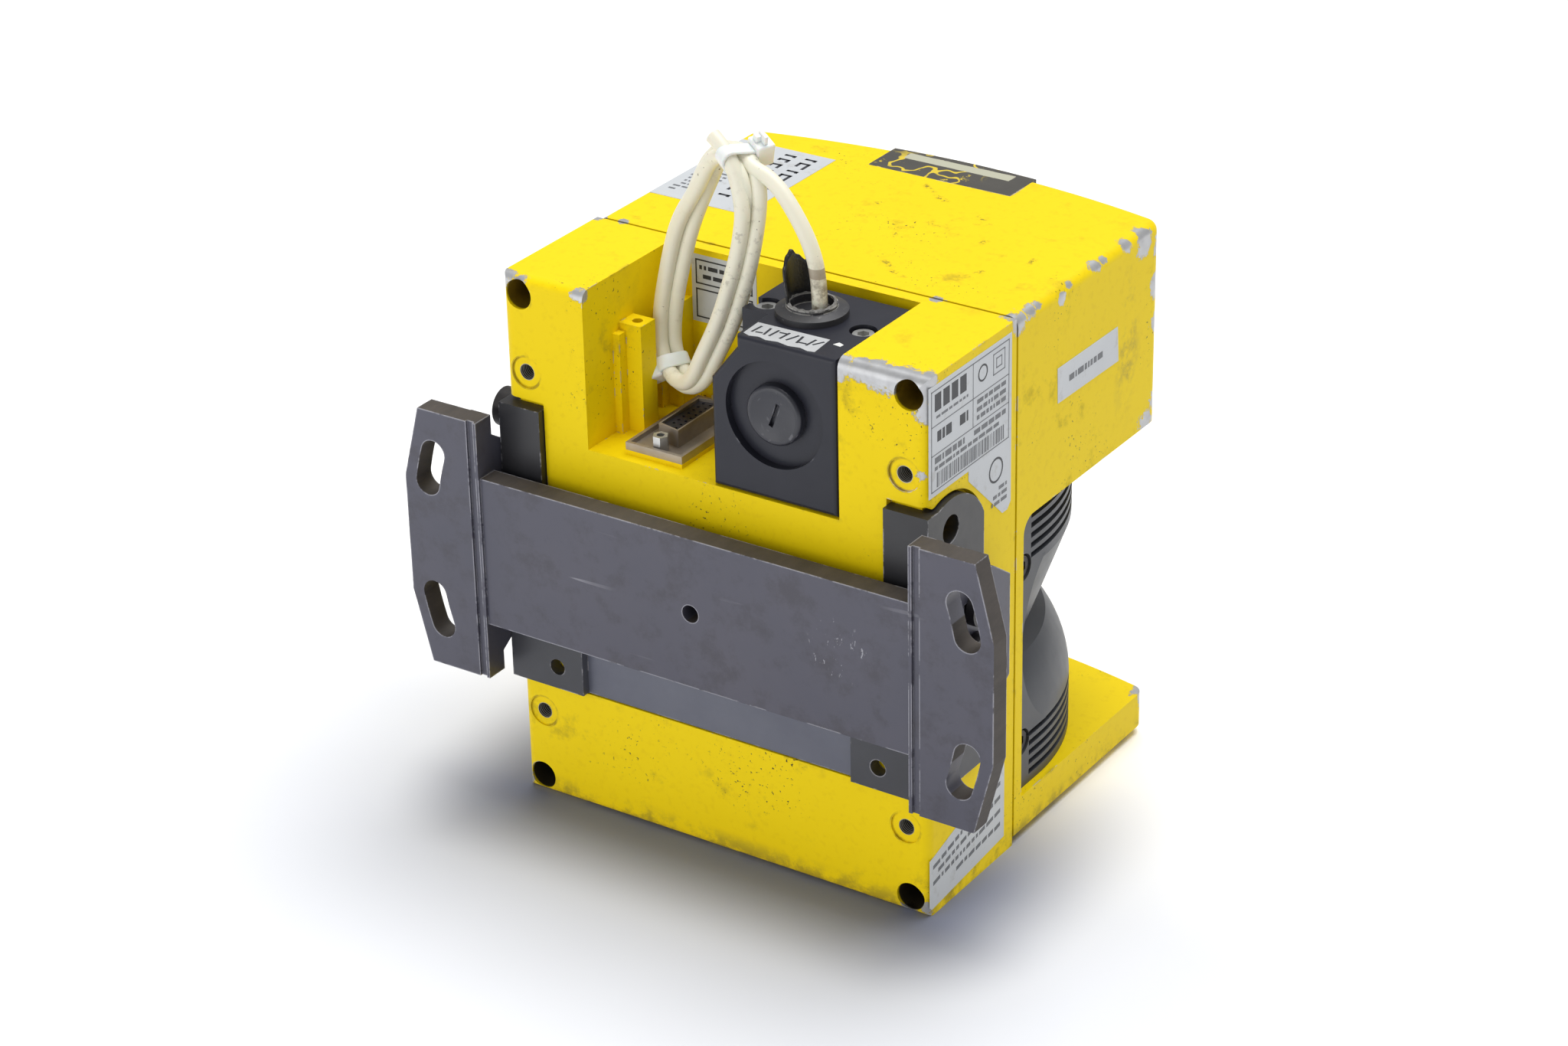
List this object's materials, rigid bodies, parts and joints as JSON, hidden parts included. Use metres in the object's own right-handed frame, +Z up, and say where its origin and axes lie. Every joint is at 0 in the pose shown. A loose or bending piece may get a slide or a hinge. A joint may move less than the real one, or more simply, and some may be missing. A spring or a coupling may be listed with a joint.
{
  "type": "safety laser scanner",
  "caption": "Safety laser scanner in a cast housing with an hourglass optics cover, connector plug box, coiled lead and an adjustable steel wall bracket.",
  "frame": {"origin": "middle of the flat underside, below the axis that the mirror turns about to 1 mm", "axes": "+Z up, the optics cover and hood front face -Y, the connectors and wall bracket face +Y, +X to the left seen from behind"},
  "size_m": [0.218, 0.1659, 0.2368],
  "materials": {
    "yellow_paint": "satin",
    "seal_rubber": "matte",
    "black_screws": "satin",
    "window_plastic": "satin",
    "panel_plastic": "satin",
    "display_glass": "gloss",
    "bare_metal": "satin",
    "zinc_screws": "satin",
    "black_plastic": "satin",
    "black_steel": "satin",
    "grey_steel": "satin",
    "cord_jacket": "satin",
    "tie_nylon": "satin",
    "inner_aluminium": "satin",
    "inner_steel": "satin",
    "mirror": "polished",
    "lens_glass": "polished",
    "board_green": "satin",
    "chip_black": "matte"
  },
  "bodies": {
    "scanner": {"rear_housing": "yellow_paint", "front_housing": "yellow_paint", "housing_gasket": "seal_rubber", "housing_screws": "black_screws", "optics_cover": "window_plastic", "cover_screws": "black_screws", "cover_seal": "seal_rubber", "display_panel": "panel_plastic", "display_glass": "display_glass", "connector_tray": "bare_metal", "connector_shell": "bare_metal", "connector_insert": "black_plastic", "connector_screws": "zinc_screws", "plug_box": "black_plastic", "plug_screws": "zinc_screws", "blank_plug": "black_plastic", "gland_ring": "black_plastic", "gland_shard": "black_plastic", "yoke": "black_steel", "pivot_screws": "black_screws", "lock_screws": "black_screws", "yoke_screw": "black_screws", "scan_motor": "inner_aluminium", "motor_bearings": "inner_steel", "lens_barrel": "inner_aluminium", "receiver_lens": "lens_glass", "laser_module": "inner_steel", "laser_post": "inner_steel", "detector_board": "board_green", "detector_chip": "chip_black", "code_reader": "inner_aluminium", "main_board": "board_green", "power_board": "board_green", "board_standoffs": "inner_aluminium", "processor_chips": "chip_black", "output_relays": "chip_black", "power_capacitors": "chip_black", "interface_board": "board_green", "interface_standoffs": "inner_aluminium", "cord_lead": "cord_jacket", "cord_coil": "cord_jacket", "cord_tail": "cord_jacket", "tie_upper": "tie_nylon", "tie_lower": "tie_nylon"},
    "rotor": {"rotor_shaft": "inner_steel", "encoder_disc": "inner_steel", "mirror_head": "inner_aluminium", "mirror_glass": "mirror"},
    "bracket": {"wall_bracket": "grey_steel"}
  },
  "joints": [
    {"name": "mirror_spin", "type": "hinge", "parent": "scanner", "child": "rotor", "pos_m": [0, -0.001, 0.09], "axis": [0, 0, 1], "continuous": true},
    {"name": "bracket_pitch", "type": "hinge", "parent": "scanner", "child": "bracket", "pos_m": [0, 0.0604, 0.0926], "axis": [1, 0, 0], "range_deg": [-6, 6]}
  ]
}
